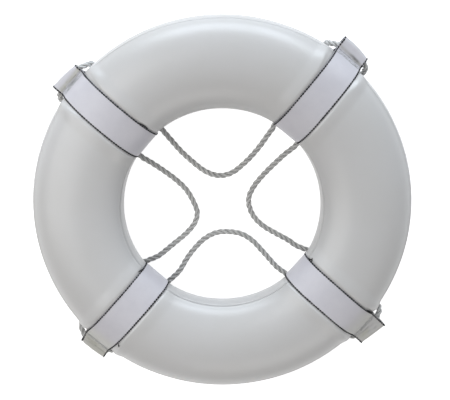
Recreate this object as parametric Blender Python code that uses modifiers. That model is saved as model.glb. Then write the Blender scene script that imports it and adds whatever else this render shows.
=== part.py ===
# Ring lifebuoy with four sewn straps and a rope grab line, lying flat on its back.
# Metres, +Z up. The origin is the centre of the ring, and +Z is the side with no rope on it.

import bisect
import math

import bmesh
import bpy
from mathutils import Matrix, Vector

# Ring
OUTER_DIAMETER = 0.610
HOLE_DIAMETER = 0.317
THICKNESS = 0.100
SECTION_POWER = 2.1          # 2 is an ellipse, more is squarer
SKIN_WALL = 0.0025
PARTING_HEIGHT = 0.019       # the moulding line above the middle of the ring
RING_STEPS = 56
SKIN_STEPS = 14
SHARP_ANGLE = 50             # degrees, above which an edge is shaded sharp

# Fits
GAP = 0.0003                 # between pieces that touch
WELD_DISTANCE = 0.00002      # points closer than this become one
ANGLE_ERROR = 1e-9           # radians, in the place where the strap leaves the ring
ROPE_SHOULDER_GAP = 0.0012   # the rope is a little loose where it turns under the ring
SLEEVE_CLEARANCE = 0.0005

# Straps
STRAP_WIDTH = 0.0508
STRAP_THICKNESS = 0.0021
STRAP_STEPS = 34
NECK_REACH = 0.0040          # from the ring's outer edge to where the two layers meet
NECK_LENGTH = 0.0048         # sewn layers between the ring and the rope sleeve
SLEEVE_STEPS = 14

# Threads
THREAD_DIAMETER = 0.0009
EDGE_INSET = 0.0015          # middle of the edge stitching to the strap's edge
SEAM_MARGIN = 0.0034         # the cross seam stops this far from the strap's edges

# Grab line
ROPE_DIAMETER = 0.0095
ROPE_FLAT = 0.1              # share of the diameter pressed flat on the floor
EMERGE_INSET = 0.0125        # the line comes out from under the ring this far inside the hole
LEG_SPACING = 0.012
BIGHT_SPACING = 0.022
EXIT_STRAIGHT = 0.0026
SPAN_STEPS = 12              # fine points between two points of a route
ROUND_END = [30, 55, 75, 87]  # degrees on the round end of a bight, from its tube to its tip
LEG_SWAY = 0.0012            # how far the line stands off the strap at the ring's lowest line

# The line's turn out of a sleeve: how far in from the sleeve, beyond its mouth, and down
EXIT_TURN = [(0, 0, 0), (0, EXIT_STRAIGHT, 0), (0.0010, 0.0078, 0.0008), (0.0033, 0.0122, 0.0031),
             (0.0063, 0.0154, 0.0070), (0.0090, 0.0172, 0.0120)]
# Then under the ring: angle on the ring's section in degrees, and distance beyond the mouth
UNDER_TURN = [(-25, 0.0184), (-42, 0.0182), (-58, 0.0155), (-74, 0.0108)]

# Each strap: direction from the ring's centre in degrees, sideways shift, and how far to each
# side of the strap's middle the line comes out in the hole (clockwise side, other side).
STRAPS = {
    "top_right": (51.2, -0.003, -0.035, 0.013),
    "top_left": (139.0, 0.003, -0.025, 0.031),
    "bottom_left": (228.8, -0.006, -0.010, 0.034),
    "bottom_right": (319.0, 0.004, -0.033, 0.016),
}

# Each bight: the strap it starts at, the strap it ends at, and its route in the hole,
# as x and y on the floor in millimetres.
BIGHTS = {
    "top": ("top_left", "top_right",
            [(-87, 102), (-68, 80), (-51, 64), (-34, 50), (-19, 42), (-2, 39),
             (16, 44), (33, 57), (50, 74), (65, 93), (76, 109)]),
    "right": ("bottom_right", "top_right",
              [(113, -73), (90, -60), (70, -48), (55, -34), (46, -17), (44, 1),
               (52, 20), (65, 37), (82, 55), (103, 75)]),
    "bottom": ("bottom_right", "bottom_left",
               [(80, -105), (66, -89), (50, -72), (32, -61), (10, -57), (-11, -59),
                (-30, -69), (-46, -85), (-60, -104), (-69, -120)]),
    "left": ("top_left", "bottom_left",
             [(-119, 62), (-98, 48), (-77, 32), (-60, 15), (-48, -6), (-42, -24),
              (-46, -41), (-60, -59), (-82, -78), (-101, -94)]),
}
CLOCKWISE, ANTICLOCKWISE = -1, 1
SIDES = {
    "top": (CLOCKWISE, ANTICLOCKWISE),
    "right": (ANTICLOCKWISE, CLOCKWISE),
    "bottom": (CLOCKWISE, ANTICLOCKWISE),
    "left": (ANTICLOCKWISE, CLOCKWISE),
}

OUTER_RADIUS = OUTER_DIAMETER / 2
HOLE_RADIUS = HOLE_DIAMETER / 2
ROPE_RADIUS = ROPE_DIAMETER / 2
THREAD_RADIUS = THREAD_DIAMETER / 2
SECTION_MIDDLE = (OUTER_RADIUS + HOLE_RADIUS) / 2
SECTION_HALF_WIDTH = (OUTER_RADIUS - HOLE_RADIUS) / 2
HALF_THICKNESS = THICKNESS / 2
SLEEVE_HOLE_RADIUS = ROPE_RADIUS + SLEEVE_CLEARANCE
SLEEVE_RADIUS = SLEEVE_HOLE_RADIUS + STRAP_THICKNESS
NECK_X = OUTER_RADIUS + NECK_REACH
SLEEVE_X = NECK_X + NECK_LENGTH + SLEEVE_HOLE_RADIUS
LINE_HEIGHT = -(HALF_THICKNESS + GAP + ROPE_RADIUS)
FLOOR_HEIGHT = LINE_HEIGHT - ROPE_RADIUS + ROPE_FLAT * ROPE_DIAMETER
BESIDE_STRAP = STRAP_WIDTH / 2 + ROPE_RADIUS + GAP
EMERGE_RADIUS = HOLE_RADIUS - EMERGE_INSET
CUTTER_SIZE = 2 * OUTER_DIAMETER


# Shapes in the ring's section: x is the distance from the ring's axis

def signed_power(value, power):
    return math.copysign(abs(value) ** power, value)


def section_point(angle, grow=0.0):
    """Point on the ring's section at an angle, moved out along its normal by grow."""
    power = 2 / SECTION_POWER
    across = signed_power(math.cos(angle), power)
    up = signed_power(math.sin(angle), power)
    normal = section_normal(angle)
    return (SECTION_MIDDLE + SECTION_HALF_WIDTH * across + grow * normal[0],
            HALF_THICKNESS * up + grow * normal[1])


def section_normal(angle):
    power = 2 - 2 / SECTION_POWER
    x = signed_power(math.cos(angle), power) / SECTION_HALF_WIDTH
    z = signed_power(math.sin(angle), power) / HALF_THICKNESS
    length = math.hypot(x, z)
    return x / length, z / length


def spread(first, last, steps):
    """Evenly spaced values from first to last."""
    return [first + (last - first) * i / steps for i in range(steps + 1)]


def parting_angle(height):
    """Angle on the outer side at which the section reaches a height."""
    return math.asin((height / HALF_THICKNESS) ** (SECTION_POWER / 2))


def chord_depth(steps):
    """How far the sides of a section drawn in equal steps cut inside its curve."""
    deepest = 0.0
    angles = spread(0, 2 * math.pi, steps)
    for first, last in zip(angles, angles[1:]):
        start, end = Vector(section_point(first)), Vector(section_point(last))
        bulge = Vector(section_point((first + last) / 2)) - start
        along = (end - start).normalized()
        deepest = max(deepest, (bulge - along * bulge.dot(along)).length)
    return deepest


def tangent_angle(x, grow):
    """Angle at which a line from the point (x, 0) touches the grown section."""
    low, high = 0.0, math.pi / 2
    while high - low > ANGLE_ERROR:
        angle = (low + high) / 2
        point = section_point(angle, grow)
        normal = section_normal(angle)
        if (x - point[0]) * normal[0] > point[1] * normal[1]:
            low = angle
        else:
            high = angle
    return (low + high) / 2


# Scene, materials and modelling helpers

def clear_scene():
    for item in list(bpy.data.objects):
        bpy.data.objects.remove(item, do_unlink=True)


def new_collection(name):
    collection = bpy.data.collections.new(name)
    bpy.context.scene.collection.children.link(collection)
    return collection


def new_material(name, colour, roughness):
    material = bpy.data.materials.new(name)
    material.use_nodes = True
    shader = material.node_tree.nodes["Principled BSDF"]
    shader.inputs["Base Color"].default_value = (*colour, 1.0)
    shader.inputs["Roughness"].default_value = roughness
    return material


def place(item, collection, material=None):
    for owner in list(item.users_collection):
        owner.objects.unlink(item)
    collection.objects.link(item)
    if material is not None:
        item.data.materials.append(material)
    return item


def turned(name, profile, collection, material):
    """Turn a closed profile of (x, z) points a full circle round the Z axis."""
    mesh = bpy.data.meshes.new(name)
    count = len(profile)
    edges = [(i, (i + 1) % count) for i in range(count)]
    mesh.from_pydata([(x, 0, z) for x, z in profile], edges, [])
    item = place(bpy.data.objects.new(name, mesh), collection, material)
    screw = item.modifiers.new("Screw", "SCREW")
    screw.steps = screw.render_steps = RING_STEPS
    screw.angle = 2 * math.pi
    screw.use_merge_vertices = True
    screw.merge_threshold = WELD_DISTANCE
    screw.use_smooth_shade = True
    return item


def tube(name, points, radius, collection, material, radii=None, cyclic=False, resolution=2):
    """Round tube along a polyline, with filled ends unless it is cyclic."""
    curve = bpy.data.curves.new(name, "CURVE")
    curve.dimensions = "3D"
    curve.bevel_depth = radius
    curve.bevel_resolution = resolution
    curve.use_fill_caps = not cyclic
    spline = curve.splines.new("POLY")
    spline.points.add(len(points) - 1)
    for i, point in enumerate(points):
        spline.points[i].co = (*point, 1.0)
        spline.points[i].radius = radii[i] if radii else 1.0
    spline.use_cyclic_u = cyclic
    return place(bpy.data.objects.new(name, curve), collection, material)


def made_mesh(item, collection, material):
    """Swap a curve object for a plain mesh of the same shape, with its caps welded."""
    bpy.context.view_layer.update()
    name, matrix = item.name, item.matrix_world.copy()
    evaluated = item.evaluated_get(bpy.context.evaluated_depsgraph_get())
    mesh = bpy.data.meshes.new_from_object(evaluated)
    bpy.data.objects.remove(item, do_unlink=True)
    shape = bmesh.new()
    shape.from_mesh(mesh)
    bmesh.ops.remove_doubles(shape, verts=shape.verts, dist=WELD_DISTANCE)
    shape.to_mesh(mesh)
    shape.free()
    mesh.name = name
    mesh.materials.clear()
    swapped = place(bpy.data.objects.new(name, mesh), collection, material)
    swapped.matrix_world = matrix
    mesh.shade_smooth()
    mesh.set_sharp_from_angle(angle=math.radians(SHARP_ANGLE))
    return swapped


def cut_flat(item, cutter):
    boolean = item.modifiers.new("Floor flat", "BOOLEAN")
    boolean.operation = "DIFFERENCE"
    boolean.object = cutter


def floor_cutter(collection):
    bpy.ops.mesh.primitive_cube_add(size=CUTTER_SIZE,
                                    location=(0, 0, FLOOR_HEIGHT - CUTTER_SIZE / 2))
    cutter = place(bpy.context.object, collection)
    cutter.name = "floor_cutter"
    cutter.hide_render = True
    cutter.display_type = "WIRE"
    return cutter


# The ring

def skin_profile(first, last):
    """Closed band: its outer face from one angle to another, then its inner face back."""
    angles = spread(first, last, SKIN_STEPS)
    outer = [section_point(angle) for angle in angles]
    inner = [section_point(angle, -SKIN_WALL) for angle in reversed(angles)]
    return outer + inner


def make_ring(collection, shell, foam):
    point = parting_angle(PARTING_HEIGHT)
    half_gap = GAP / 2 / math.hypot(SECTION_HALF_WIDTH * math.sin(point),
                                    HALF_THICKNESS * math.cos(point))
    front = skin_profile(math.pi - point - half_gap, point + half_gap)
    rear = skin_profile(point - half_gap, half_gap - math.pi - point)
    turned("front_skin", front, collection, shell)
    turned("rear_skin", rear, collection, shell)
    angles = (spread(math.pi - point, point, SKIN_STEPS)[:-1]
              + spread(point, -math.pi - point, SKIN_STEPS)[:-1])
    core = [section_point(angle, -SKIN_WALL - GAP) for angle in angles]
    turned("foam_core", core, collection, foam)


# Straps. Each is an outline in the plane through its direction, drawn out to its width.

def strap_frame(name):
    """Matrix whose x runs out along the strap, y up, and z sideways, clockwise."""
    direction, shift = STRAPS[name][:2]
    angle = math.radians(direction)
    out = Vector((math.cos(angle), math.sin(angle), 0))
    side = Vector((-math.sin(angle), math.cos(angle), 0))
    frame = Matrix((out, Vector((0, 0, 1)), -side)).transposed().to_4x4()
    frame.translation = side * shift
    return frame


def strap_clearance():
    """Gap at the corners of a strap's opening that leaves GAP at the middle of its sides."""
    return GAP + chord_depth(STRAP_STEPS)


def strap_face(name, angles, grow):
    """Profile of a strap that clears the ring's facets over the strap's whole width."""
    half_across = STRAP_WIDTH / 2 + abs(STRAPS[name][1])
    face = []
    for angle in angles:
        x, z = section_point(angle, grow)
        if x < SECTION_MIDDLE:
            facet = x * math.cos(math.pi / RING_STEPS)
            x = math.sqrt(facet ** 2 - half_across ** 2)
        face.append((x, z))
    return face


def strap_loops(name):
    """Outline, ring opening and rope hole of a strap."""
    grow = strap_clearance()
    leave = tangent_angle(NECK_X, grow)
    angles = spread(leave, 2 * math.pi - leave, STRAP_STEPS)
    inside = strap_face(name, angles, grow)
    outside = strap_face(name, angles, grow + STRAP_THICKNESS)
    slope = math.atan2(inside[0][1], NECK_X - inside[0][0])
    fold_x = NECK_X + STRAP_THICKNESS * math.tan(slope / 2)
    bend = math.pi - math.asin(STRAP_THICKNESS / SLEEVE_RADIUS)
    sleeve = circle(SLEEVE_X, SLEEVE_RADIUS, spread(-bend, bend, SLEEVE_STEPS))
    outline = outside + [(fold_x, -STRAP_THICKNESS)] + sleeve + [(fold_x, STRAP_THICKNESS)]
    opening = inside + [(NECK_X, 0)]
    hole = circle(SLEEVE_X, SLEEVE_HOLE_RADIUS, spread(0, 2 * math.pi, SLEEVE_STEPS)[:-1])
    return outline, opening, hole


def circle(x, radius, angles):
    return [(x + radius * math.cos(angle), radius * math.sin(angle)) for angle in angles]


def offset_loop(points, distance):
    """Move each corner of an anticlockwise loop outwards, keeping its sides parallel."""
    count = len(points)
    moved = []
    for i, point in enumerate(points):
        before = Vector(point) - Vector(points[i - 1])
        after = Vector(points[(i + 1) % count]) - Vector(point)
        normals = [Vector((side.y, -side.x)).normalized() for side in (before, after)]
        corner = normals[0] + normals[1]
        reach = 2 * distance / corner.length_squared
        moved.append((point[0] + corner.x * reach, point[1] + corner.y * reach))
    return moved


def make_strap(name, collection, material):
    curve = bpy.data.curves.new("strap_" + name, "CURVE")
    curve.dimensions = "2D"
    curve.fill_mode = "BOTH"
    curve.extrude = STRAP_WIDTH / 2
    for loop in strap_loops(name):
        spline = curve.splines.new("POLY")
        spline.points.add(len(loop) - 1)
        for i, (x, y) in enumerate(loop):
            spline.points[i].co = (x, y, 0, 1)
        spline.use_cyclic_u = True
    strap = place(bpy.data.objects.new("strap_" + name, curve), collection, material)
    strap.matrix_world = strap_frame(name)


def make_threads(name, collection, black, white):
    """Edge stitching round both edges of a strap, and the seam that closes its sleeve."""
    outline = strap_loops(name)[0]
    path = offset_loop(outline, GAP + THREAD_RADIUS)
    frame = strap_frame(name)
    across = STRAP_WIDTH / 2 - EDGE_INSET
    for label, side in (("a", -across), ("b", across)):
        points = [frame @ Vector((x, y, side)) for x, y in path]
        tube("edge_stitching_%s_%s" % (name, label), points, THREAD_RADIUS, collection, black,
             cyclic=True, resolution=0)
    seam_x = NECK_X + NECK_LENGTH / 2
    seam_height = STRAP_THICKNESS + GAP + THREAD_RADIUS
    half_seam = STRAP_WIDTH / 2 - SEAM_MARGIN
    ends = [frame @ Vector((seam_x, seam_height, side)) for side in (-half_seam, half_seam)]
    tube("sleeve_seam_" + name, ends, THREAD_RADIUS, collection, white, resolution=0)


# The grab line. Routes are made in each strap's own axes and joined into one smooth curve.

def under_strap_x():
    """Distance from the ring's axis inside which the straps rise clear of the line."""
    height = HALF_THICKNESS - STRAP_THICKNESS - THREAD_DIAMETER - GAP - strap_clearance()
    share = 1 - (height / HALF_THICKNESS) ** SECTION_POWER
    return SECTION_MIDDLE - SECTION_HALF_WIDTH * share ** (1 / SECTION_POWER)


def leg_route(name, side):
    """The line from a sleeve's mouth, round the ring's edge and under it, into the hole."""
    direction, shift, clockwise_exit, other_exit = STRAPS[name]
    emerge = side * (clockwise_exit if side == CLOCKWISE else other_exit)
    mouth = STRAP_WIDTH / 2 + GAP
    loose = ROPE_SHOULDER_GAP + ROPE_RADIUS
    route = [(SLEEVE_X - inward, mouth + beyond, -drop) for inward, beyond, drop in EXIT_TURN]
    for degrees, beyond in UNDER_TURN:
        x, z = section_point(math.radians(degrees), loose)
        route.append((x, mouth + beyond, max(z, LINE_HEIGHT)))
    route.append((SECTION_MIDDLE, BESIDE_STRAP + LEG_SWAY, LINE_HEIGHT))
    drift_start = under_strap_x()
    route.append((drift_start, BESIDE_STRAP, LINE_HEIGHT))
    route.append(((drift_start + EMERGE_RADIUS) / 2, (BESIDE_STRAP + emerge) / 2, LINE_HEIGHT))
    route.append((EMERGE_RADIUS, emerge, LINE_HEIGHT))
    angle = math.radians(direction)
    out = Vector((math.cos(angle), math.sin(angle), 0))
    across = Vector((-math.sin(angle), math.cos(angle), 0))
    return [out * x + across * (shift + side * s) + Vector((0, 0, z)) for x, s, z in route]


def stretch_route(name):
    """All points of one stretch, sleeve to sleeve, and the numbers of its two bends."""
    start, end, middle = BIGHTS[name]
    first = leg_route(start, SIDES[name][0])
    last = leg_route(end, SIDES[name][1])
    between = [Vector((x / 1000, y / 1000, LINE_HEIGHT)) for x, y in middle]
    points = first + between + last[::-1]
    return points, len(first) - 1, len(first) + len(between)


def smooth_curve(points):
    """Fine points along a smooth curve through all points, and each one's distance."""
    ghosts = [points[0] * 2 - points[1]] + points + [points[-1] * 2 - points[-2]]
    fine, marks = [points[0]], [0]
    for a, b, c, d in zip(ghosts, ghosts[1:], ghosts[2:], ghosts[3:]):
        knots = [0.0]
        for p, q in ((a, b), (b, c), (c, d)):
            knots.append(knots[-1] + math.sqrt((q - p).length))
        for i in range(1, SPAN_STEPS + 1):
            fine.append(centripetal(a, b, c, d, knots, i / SPAN_STEPS))
        marks.append(len(fine) - 1)
    lengths = [0.0]
    for p, q in zip(fine, fine[1:]):
        lengths.append(lengths[-1] + (q - p).length)
    return fine, lengths, [lengths[mark] for mark in marks]


def centripetal(a, b, c, d, knots, share):
    t0, t1, t2, t3 = knots
    t = t1 + (t2 - t1) * share
    ab = a * ((t1 - t) / (t1 - t0)) + b * ((t - t0) / (t1 - t0))
    bc = b * ((t2 - t) / (t2 - t1)) + c * ((t - t1) / (t2 - t1))
    cd = c * ((t3 - t) / (t3 - t2)) + d * ((t - t2) / (t3 - t2))
    abc = ab * ((t2 - t) / (t2 - t0)) + bc * ((t - t0) / (t2 - t0))
    bcd = bc * ((t3 - t) / (t3 - t1)) + cd * ((t - t1) / (t3 - t1))
    return abc * ((t2 - t) / (t2 - t1)) + bcd * ((t - t1) / (t2 - t1))


def point_at(fine, lengths, distance):
    i = min(max(bisect.bisect_left(lengths, distance), 1), len(fine) - 1)
    share = (distance - lengths[i - 1]) / (lengths[i] - lengths[i - 1])
    return fine[i - 1].lerp(fine[i], share)


def stretch_points(name, first, last, spacing):
    fine, lengths, _ = smooth_curve(stretch_route(name)[0])
    steps = max(2, round((last - first) / spacing))
    return [point_at(fine, lengths, distance) for distance in spread(first, last, steps)]


def hinge_distances(name):
    """Distances along a stretch to its two bends, and its whole length."""
    points, first, last = stretch_route(name)
    marks = smooth_curve(points)[2]
    return marks[first], marks[last], marks[-1]


def make_leg(name, label, first, last, collection, material, cutter):
    """One leg, whose start is straight for a few millimetres at the sleeve."""
    fine, lengths, _ = smooth_curve(stretch_route(name)[0])
    inward = EXIT_STRAIGHT if last > first else -EXIT_STRAIGHT
    points = [point_at(fine, lengths, first)]
    steps = round(abs(last - first - inward) / LEG_SPACING)
    for distance in spread(first + inward, last, steps):
        points.append(point_at(fine, lengths, distance))
    leg = tube(label, points, ROPE_RADIUS, collection, material)
    cut_flat(made_mesh(leg, collection, material), cutter)


def round_end(end, inner):
    """Points and radius shares of a round end beyond a tube's last point."""
    out = (end - inner).normalized() * ROPE_RADIUS
    angles = [math.radians(degrees) for degrees in ROUND_END]
    return [end + out * math.sin(angle) for angle in angles], [math.cos(angle) for angle in angles]


def make_bight(name, collection, material, cutter):
    """The free part of one stretch, with round ends on its hinge line, and its empty."""
    first, last, _ = hinge_distances(name)
    points = stretch_points(name, first, last, BIGHT_SPACING)
    start, start_shares = round_end(points[0], points[1])
    end, end_shares = round_end(points[-1], points[-2])
    radii = start_shares[::-1] + [1.0] * len(points) + end_shares
    points = start[::-1] + points + end
    bight = tube("bight_" + name, points, ROPE_RADIUS, collection, material, radii)
    bight = made_mesh(bight, collection, material)
    cut_flat(bight, cutter)
    pivot = bpy.data.objects.new("hinge_" + name, None)
    collection.objects.link(pivot)
    start, end = hinge_points(name)
    pivot.location = (start + end) / 2
    pivot.rotation_euler = (0, 0, math.atan2(end.y - start.y, end.x - start.x))
    bpy.context.view_layer.update()
    bight.parent = pivot
    bight.matrix_parent_inverse = pivot.matrix_world.inverted()


def hinge_points(name):
    points, first, last = stretch_route(name)
    return points[first], points[last]


def make_line(collection, material, cutter):
    for name in STRAPS:
        frame = strap_frame(name)
        half = STRAP_WIDTH / 2
        ends = [frame @ Vector((SLEEVE_X, 0, side)) for side in (-half, half)]
        tube("line_in_sleeve_" + name, ends, ROPE_RADIUS, collection, material)
    setback = ROPE_RADIUS + GAP
    for name, (start, end, _) in BIGHTS.items():
        first, last, whole = hinge_distances(name)
        make_leg(name, "line_%s_to_%s" % (start, name), 0, first - setback,
                 collection, material, cutter)
        make_leg(name, "line_%s_to_%s" % (end, name), whole, last + setback,
                 collection, material, cutter)
        make_bight(name, collection, material, cutter)


def build():
    clear_scene()
    parts = new_collection("life_ring")
    cutters = new_collection("cutters")
    shell = new_material("white_shell", (0.78, 0.78, 0.79), 0.38)
    foam = new_material("foam", (0.86, 0.83, 0.72), 0.9)
    webbing = new_material("white_webbing", (0.72, 0.72, 0.78), 0.55)
    black = new_material("black_thread", (0.02, 0.02, 0.025), 0.7)
    white = new_material("white_thread", (0.66, 0.66, 0.64), 0.7)
    rope = new_material("rope", (0.42, 0.42, 0.42), 0.75)
    make_ring(parts, shell, foam)
    for name in STRAPS:
        make_strap(name, parts, webbing)
        make_threads(name, parts, black, white)
    make_line(parts, rope, floor_cutter(cutters))


build()
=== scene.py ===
# Ring lifebuoy lying flat on its back, with four sewn straps and a rope grab line.
# Metres, +Z up, the origin is the ring's centre. The top of the picture is +Y.

import math

import bmesh
import bpy
import numpy as np
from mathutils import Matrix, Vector, geometry, noise


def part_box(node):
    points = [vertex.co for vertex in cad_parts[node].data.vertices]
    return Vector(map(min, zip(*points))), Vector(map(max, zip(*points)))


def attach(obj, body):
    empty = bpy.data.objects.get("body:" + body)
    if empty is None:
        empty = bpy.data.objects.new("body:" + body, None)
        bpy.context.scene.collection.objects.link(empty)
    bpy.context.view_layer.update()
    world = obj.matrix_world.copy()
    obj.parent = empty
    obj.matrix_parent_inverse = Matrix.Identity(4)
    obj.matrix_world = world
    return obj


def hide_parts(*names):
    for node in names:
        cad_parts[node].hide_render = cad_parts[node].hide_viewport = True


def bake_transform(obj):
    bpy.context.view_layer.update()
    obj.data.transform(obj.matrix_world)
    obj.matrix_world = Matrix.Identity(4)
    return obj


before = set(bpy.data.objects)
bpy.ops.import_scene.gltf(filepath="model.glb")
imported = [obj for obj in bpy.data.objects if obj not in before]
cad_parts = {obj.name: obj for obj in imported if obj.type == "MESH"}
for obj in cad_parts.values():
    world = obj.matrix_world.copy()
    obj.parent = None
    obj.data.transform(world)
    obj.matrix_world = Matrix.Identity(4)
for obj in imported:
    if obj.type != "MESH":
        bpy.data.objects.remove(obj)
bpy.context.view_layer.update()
print("frame loaded,", len(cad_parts), "nodes")


# Small helpers for node trees

class Field:  # a value in a node tree: sums and products of fields become Math nodes
    def __init__(self, tree, socket):
        self.tree, self.socket = tree, socket

    def math(self, operation, *values):
        node = self.tree.nodes.new("ShaderNodeMath")
        node.operation = operation
        for i, value in enumerate((self,) + values):
            join(self.tree, value, node.inputs[i])
        return Field(self.tree, node.outputs[0])

    def __add__(self, other): return self.math("ADD", other)
    def __sub__(self, other): return self.math("SUBTRACT", other)
    def __mul__(self, other): return self.math("MULTIPLY", other)
    def __truediv__(self, other): return self.math("DIVIDE", other)
    def __pow__(self, other): return self.math("POWER", other)
    def __rsub__(self, other): return self * -1 + other
    def __abs__(self): return self.math("ABSOLUTE")
    __radd__ = __add__
    __rmul__ = __mul__


def join(tree, value, socket):
    # A node stands for its first output
    if isinstance(value, bpy.types.Node):
        value = value.outputs[0]
    if isinstance(value, Field):
        value = value.socket
    if isinstance(value, bpy.types.NodeSocket):
        tree.links.new(value, socket)
    else:
        socket.default_value = value


def put(tree, kind, inputs=(), **settings):
    node = tree.nodes.new(kind)
    for name, value in settings.items():
        setattr(node, name, value)
    for name, value in dict(inputs).items():
        join(tree, value, node.inputs[name])
    return node


def newTree(name, inputs, outputs=(), kind="GeometryNodeTree"):
    # The values that a tree is run with name its inputs too
    tree = bpy.data.node_groups.new(name, kind)

    def add(label, way, what):
        return tree.interface.new_socket(label, in_out=way, socket_type="NodeSocket" + what)

    if kind == "GeometryNodeTree":
        add("Geometry", "INPUT", "Geometry")
        add("Geometry", "OUTPUT", "Geometry")
        add("Material", "INPUT", "Material")
    for label, value in inputs.items():
        if label != "Material":
            what = {float: "Float", int: "Int", tuple: "Vector"}[type(value)]
            add(label, "INPUT", what).default_value = value
    for label in outputs:
        add(label, "OUTPUT", "Float")
    given = tree.nodes.new("NodeGroupInput")
    return tree, lambda label: Field(tree, given.outputs[label])


def blendRange(value, low, high):
    return Field(value.tree, put(value.tree, "ShaderNodeMapRange", {0: value, 1: low, 2: high},
                                 interpolation_type="SMOOTHSTEP").outputs[0])


def mixColour(tree, amount, first, second):
    return put(tree, "ShaderNodeMix", {0: amount, 6: first, 7: second}, data_type="RGBA").outputs[2]


def splitVector(tree, vector):
    node = put(tree, "ShaderNodeSeparateXYZ", {0: vector})
    return [Field(tree, socket) for socket in node.outputs]


def joinVector(tree, x, y, z):
    return put(tree, "ShaderNodeCombineXYZ", {0: x, 1: y, 2: z})


def noiseField(tree, vector, scale, detail=2.0, roughness=0.5):
    return Field(tree, put(tree, "ShaderNodeTexNoise", {
        "Vector": vector, "Scale": scale, "Detail": detail, "Roughness": roughness}).outputs[0])


def cellField(tree, vector, scale):
    cells = put(tree, "ShaderNodeTexVoronoi", {"Vector": vector, "Scale": scale})
    return Field(tree, cells.outputs["Distance"])


def cosSin(angle):
    return angle.math("COSINE"), angle.math("SINE")


def position(tree):
    return splitVector(tree, put(tree, "GeometryNodeInputPosition"))


def moved(tree, geometry, place):
    return put(tree, "GeometryNodeSetPosition", {0: geometry, "Position": place})


def stored(tree, geometry, name, value, kind="FLOAT"):
    return put(tree, "GeometryNodeStoreNamedAttribute",
               {0: geometry, "Name": name, "Value": value}, data_type=kind)


def lineOf(tree, given, step=None):
    # The bare line that a piece starts from, in even steps where a step is given
    line = put(tree, "GeometryNodeMeshToCurve", {0: given("Geometry")})
    if step is None:
        return line
    return put(tree, "GeometryNodeResampleCurve", {"Curve": line, "Length": step}, mode="LENGTH")


def swept(tree, line, profile):
    return put(tree, "GeometryNodeCurveToMesh", {
        "Curve": line, "Profile Curve": profile, "Fill Caps": True})


def closeTree(tree, geometry, given):
    # The last nodes of every tree that makes a piece
    real = put(tree, "GeometryNodeRealizeInstances", {0: geometry})
    smooth = put(tree, "GeometryNodeSetShadeSmooth", {0: real})
    finish = put(tree, "GeometryNodeSetMaterial", {0: smooth, "Material": given("Material")})
    put(tree, "NodeGroupOutput", {"Geometry": finish})
    return tree


def grow(item, tree, values):
    # Runs a tree on an object and keeps its result as a plain mesh
    modifier = item.modifiers.new(tree.name, "NODES")
    modifier.node_group = tree
    for socket in tree.interface.items_tree:
        if socket.in_out == "INPUT" and socket.name in values:
            modifier[socket.identifier] = values[socket.name]
    graph = bpy.context.evaluated_depsgraph_get()
    made = bpy.data.meshes.new_from_object(item.evaluated_get(graph))
    item.modifiers.clear()
    item.data = made
    made.name = item.name
    return item


def linked(name, data):
    item = bpy.data.objects.new(name, data)
    bpy.context.scene.collection.objects.link(item)
    return item


def newObject(name, points, edges=(), faces=()):
    mesh = bpy.data.meshes.new(name)
    mesh.from_pydata([tuple(point) for point in points], edges, faces)
    return linked(name, mesh)


def keepValues(mesh, name, values):
    # A number or a direction for each point, for trees and materials to read
    values = np.asarray(values, np.float32)
    kind, field = ("FLOAT", "value") if values.ndim == 1 else ("FLOAT_VECTOR", "vector")
    mesh.attributes.new(name, kind, "POINT").data.foreach_set(field, values.ravel())


def newLines(name, lines, closed=False, outward=None):
    # Bare lines for a tree to follow, with the way that faces away from the strap
    points, edges = [], []
    for line in lines:
        edges += [(i, i + 1) for i in range(len(points), len(points) + len(line) - 1)]
        points += list(line)
    if closed:
        edges.append((len(points) - 1, 0))
    item = newObject(name, points, edges)
    if outward is not None:
        keepValues(item.data, "outward", outward)
    return item


def smoothStep(low, high, value):
    share = np.clip((np.asarray(value, float) - low) / (high - low), 0, 1)
    return share * share * (3 - 2 * share)


# Camera, floor and light

def paint(red, green, blue):
    # Screen colour from 0 to 255 as the linear colour that a shader takes
    linear = [c / 12.92 if c <= 0.04045 else ((c + 0.055) / 1.055) ** 2.4
              for c in (red / 255, green / 255, blue / 255)]
    return (*linear, 1.0)


view = dict(distance=1.65, tilt=13.068, focalPixels=1021.13, centrePixel=(222.28, 205.96),
            picture=(450, 400), sensor=36.0, clip=(0.05, 30.0))


def makeCamera():
    width, height = view["picture"]
    data = bpy.data.cameras.new("camera")
    data.sensor_width = view["sensor"]
    data.lens = view["sensor"] * view["focalPixels"] / width
    data.shift_x = (width / 2 - view["centrePixel"][0]) / width
    data.shift_y = (view["centrePixel"][1] - height / 2) / width
    data.clip_start, data.clip_end = view["clip"]
    item = linked("camera", data)
    tilt = math.radians(view["tilt"])
    item.location = (0, view["distance"] * math.sin(tilt), view["distance"] * math.cos(tilt))
    item.rotation_euler = (-tilt, 0, 0)
    bpy.context.scene.camera = item
    bpy.context.scene.view_settings.view_transform = "Standard"


light = dict(
    sky=(0.28, 0.28, 0.28, 1.0), white=(1.0, 1.0, 1.0, 1.0),
    floorColour=(232, 232, 232), floorGlow=0.85, floorSize=9.0, floorRoughness=0.9,
    floorSpecular=0.1,
    lamps={  # place, width and height, watts, colour
        "window": ((0.0, 4.3, 1.10), (4.8, 2.0), 136, (0.82, 0.91, 1.0)),
        "corner": ((2.5, 3.3, 1.6), (2.0, 2.0), 34, (0.86, 0.93, 1.0)),
        "side": ((-1.1, 0.1, 1.3), (1.6, 1.6), 11.5, (1.0, 0.99, 0.97)),
        "front": ((0.5, -1.6, 1.2), (1.6, 0.8), 5.0, (1.0, 0.99, 0.97)),
    })


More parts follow.
